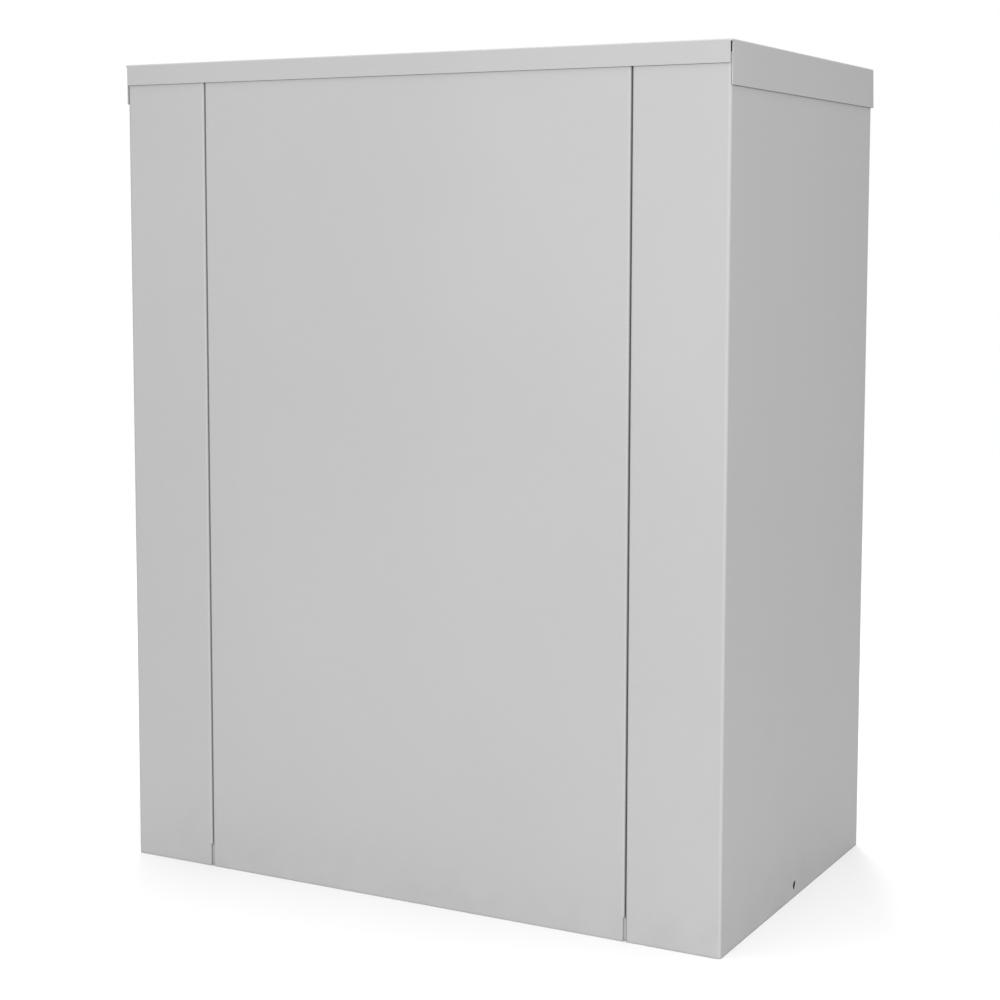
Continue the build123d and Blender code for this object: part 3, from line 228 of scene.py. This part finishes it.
def rubber(name, colour):
    """Foam or solid rubber with a dusty bloom."""
    material = new_material(name, ior=RUBBER_IOR)
    bloom = remap(material, noise(material, BLOOM, detail=4.0), 0.4, 0.75)
    base = blend_colours(material, bloom, colour, scaled(colour, 1.9))
    add_bumps(material, [(noise(material, RUBBER_TEXTURE, detail=3.0), RUBBER_TEXTURE_HEIGHT)])
    return finish_with(material, base, remap(material, bloom, 0.0, 1.0, 0.62, 0.85))


# each material slot's finish: its colour, and on metals and plastics the lowest and highest roughness
finishes = {
    "powder_coat": powder_coat("powder coat", PAINT),
    "galvanised": plated_steel("galvanised sheet", (0.62, 0.64, 0.65), 0.34, 0.52, grain=90.0),
    "zinc": plated_steel("zinc plate", (0.68, 0.69, 0.70), 0.26, 0.42, grain=700.0),
    "rubber": rubber("black rubber", (0.020, 0.020, 0.021)),
    "hinge_black": moulded("black texture coat", (0.028, 0.028, 0.030), 0.42, 0.60),
    "lock_chrome": plated_steel(
        "satin chrome", (0.72, 0.72, 0.73), 0.16, 0.26, stretch=(1, 0.1, 1), grain=500.0
    ),
    "gland_grey": moulded("gland plastic", (0.22, 0.24, 0.26), 0.40, 0.55),
    "device_grey": moulded("device plastic", (0.56, 0.57, 0.55), 0.38, 0.52),
    "knob_red": moulded("red handle plastic", (0.56, 0.030, 0.020), 0.25, 0.38, coat=0.2),
    "toggle_black": moulded("black toggle plastic", (0.022, 0.022, 0.024), 0.24, 0.36, coat=0.2),
    "comb_plastic": moulded("comb insulation", (0.10, 0.105, 0.11), 0.40, 0.55),
    "terminal_plastic": moulded("terminal plastic", (0.42, 0.40, 0.33), 0.42, 0.58),
    "copper": plated_steel("bare copper", (0.80, 0.40, 0.27), 0.24, 0.42, stretch=(4, 1, 0.3), grain=220.0),
    "brass": plated_steel("bare brass", (0.80, 0.62, 0.30), 0.22, 0.38, stretch=(0.2, 1, 3), grain=260.0),
    "duct_grey": moulded("trunking plastic", (0.33, 0.35, 0.36), 0.44, 0.58),
    "pocket_grey": moulded("pocket plastic", (0.50, 0.51, 0.50), 0.36, 0.50),
}

for row in frame["record"]["subparts"]:
    mesh = nodes[row["node"]].data
    mesh.materials.clear()
    mesh.materials.append(finishes[row["material_slot"]])


# ------------------------------------------------------------------ stage
def make_floor():
    """Plain pale floor, level with the ground, that fades into the white surroundings."""
    mesh = bpy.data.meshes.new("floor")
    corners = [(x * FLOOR_REACH, y * FLOOR_REACH, 0.0) for x, y in ((-1, -1), (1, -1), (1, 1), (-1, 1))]
    mesh.from_pydata(corners, [], [(0, 1, 2, 3)])
    floor = bpy.data.objects.new("floor", mesh)
    scene.collection.objects.link(floor)
    material = new_material("pale floor")
    shade = remap(material, noise(material, 1.5), 0.3, 0.7)
    pale = blend_colours(material, shade, (0.94, 0.94, 0.94), (0.96, 0.96, 0.96))
    seen = add_node(material, "ShaderNodeLightPath").outputs["Is Camera Ray"]
    colour = blend_colours(material, seen, FLOOR_BOUNCE, pale)
    finish_with(material, colour, remap(material, shade, 0.0, 1.0, 0.80, 0.90))
    distance = add_node(material, "ShaderNodeVectorMath")
    distance.operation = "LENGTH"
    link(material, coordinates(material), distance.inputs[0])
    solid = remap(material, distance.outputs["Value"], *FLOOR_FADE, 1.0, 0.0)
    link(material, solid, material.node_tree.nodes["Principled BSDF"].inputs["Alpha"])
    mesh.materials.append(material)


def make_area_light(name, place, aim, side, watts, mirrored=True):
    """Square panel light; with mirrored off, glossy surfaces show no image of it."""
    light = bpy.data.lights.new(name, "AREA")
    light.shape = "SQUARE"
    light.size = side
    light.energy = watts
    lamp = bpy.data.objects.new(name, light)
    scene.collection.objects.link(lamp)
    lamp.visible_glossy = mirrored
    lamp.location = place
    lamp.rotation_euler = (Vector(aim) - Vector(place)).to_track_quat("-Z", "Y").to_euler()


def make_world():
    """Even white surroundings, seen as plain white."""
    world = bpy.data.worlds.new("studio")
    world.use_nodes = True
    tree = world.node_tree
    background = tree.nodes["Background"]
    background.inputs["Color"].default_value = (1, 1, 1, 1)
    path = tree.nodes.new("ShaderNodeLightPath")
    strength = tree.nodes.new("ShaderNodeMapRange")
    strength.inputs["To Min"].default_value = WORLD_LIGHT
    strength.inputs["To Max"].default_value = 1.0
    tree.links.new(path.outputs["Is Camera Ray"], strength.inputs["Value"])
    tree.links.new(strength.outputs["Result"], background.inputs["Strength"])
    scene.world = world


def make_camera():
    """Camera behind the cabinet and to its left, as in the photograph."""
    camera = bpy.data.objects.new("camera", bpy.data.cameras.new("camera"))
    scene.collection.objects.link(camera)
    camera.data.sensor_width = CAMERA_SENSOR
    camera.data.lens = CAMERA_LENS
    camera.data.shift_y = CAMERA_SHIFT
    camera.location = CAMERA_PLACE
    yaw, pitch, roll = (math.radians(angle) for angle in (CAMERA_YAW, CAMERA_PITCH, CAMERA_ROLL))
    forward = Vector(
        (math.sin(yaw) * math.cos(pitch), -math.cos(yaw) * math.cos(pitch), -math.sin(pitch))
    )
    level = forward.to_track_quat("-Z", "Y")
    camera.rotation_mode = "QUATERNION"
    camera.rotation_quaternion = level @ Matrix.Rotation(roll, 4, "Z").to_quaternion()
    scene.camera = camera


scene.view_settings.view_transform = "Standard"
make_floor()
make_world()
make_area_light("key", (-2.75, 4.25, 1.9), REAR_AIM, side=1.0, watts=212.0, mirrored=False)
make_area_light("overhead", (0.0, 0.0, 4.2), (0.0, 0.0, 0.0), side=4.5, watts=125.0)
make_area_light("front_fill", (2.6, -4.4, 2.0), FRONT_AIM, side=2.2, watts=170.0, mirrored=False)
make_camera()
